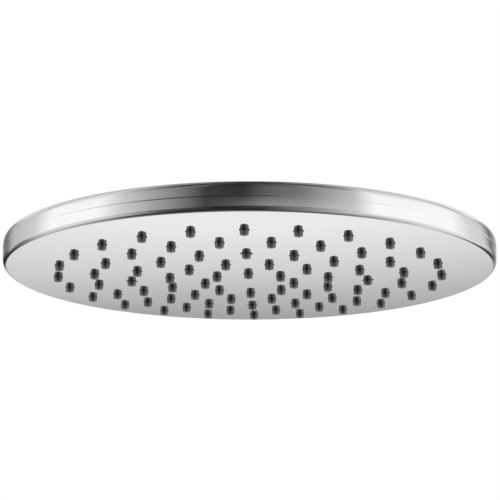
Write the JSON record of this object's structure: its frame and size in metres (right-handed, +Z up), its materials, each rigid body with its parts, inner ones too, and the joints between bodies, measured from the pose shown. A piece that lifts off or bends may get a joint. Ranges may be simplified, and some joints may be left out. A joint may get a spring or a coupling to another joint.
{
  "type": "rain shower head",
  "caption": "Round rain shower head: a polished two-shell disc with a domed face of soft nozzles in rings, on a ball swivel with a threaded inlet.",
  "frame": {"origin": "middle of the inlet's mouth, at the top of the ball nipple", "axes": "+Z up along the inlet, out of its mouth; the face of nozzles looks down, along -Z"},
  "size_m": [0.2, 0.2, 0.0399],
  "materials": {
    "polished_chrome": "polished",
    "dark_silicone": "satin",
    "seal_rubber": "matte",
    "stainless_steel": "satin",
    "white_plastic": "satin",
    "grey_plastic": "matte",
    "brass": "satin"
  },
  "bodies": {
    "inlet": {"ball_nipple": "polished_chrome", "filter_washer": "seal_rubber", "filter_screen": "stainless_steel", "flow_regulator": "white_plastic", "regulator_ring": "seal_rubber"},
    "ball_seal": {"ball_oring": "seal_rubber"},
    "head": {"collar_nut": "polished_chrome", "top_shell": "polished_chrome", "face_shell": "polished_chrome", "nozzle_mat": "dark_silicone", "socket_seal": "seal_rubber", "perimeter_seal": "seal_rubber", "socket_screws": "stainless_steel", "face_screws": "stainless_steel", "slip_ring": "white_plastic", "pressure_plate": "grey_plastic", "swivel_socket": "brass", "boss_seal_1": "seal_rubber", "screw_plug_1": "dark_silicone", "boss_seal_2": "seal_rubber", "screw_plug_2": "dark_silicone", "boss_seal_3": "seal_rubber", "screw_plug_3": "dark_silicone", "boss_seal_4": "seal_rubber", "screw_plug_4": "dark_silicone"}
  },
  "joints": [
    {"name": "swivel_turn", "type": "hinge", "parent": "inlet", "child": "ball_seal", "pos_m": [0, 0, -0.014], "axis": [0, 0, 1], "continuous": true},
    {"name": "swivel_tilt", "type": "hinge", "parent": "ball_seal", "child": "head", "pos_m": [0, 0, -0.014], "axis": [1, 0, 0], "range_deg": [-15, 15]}
  ]
}
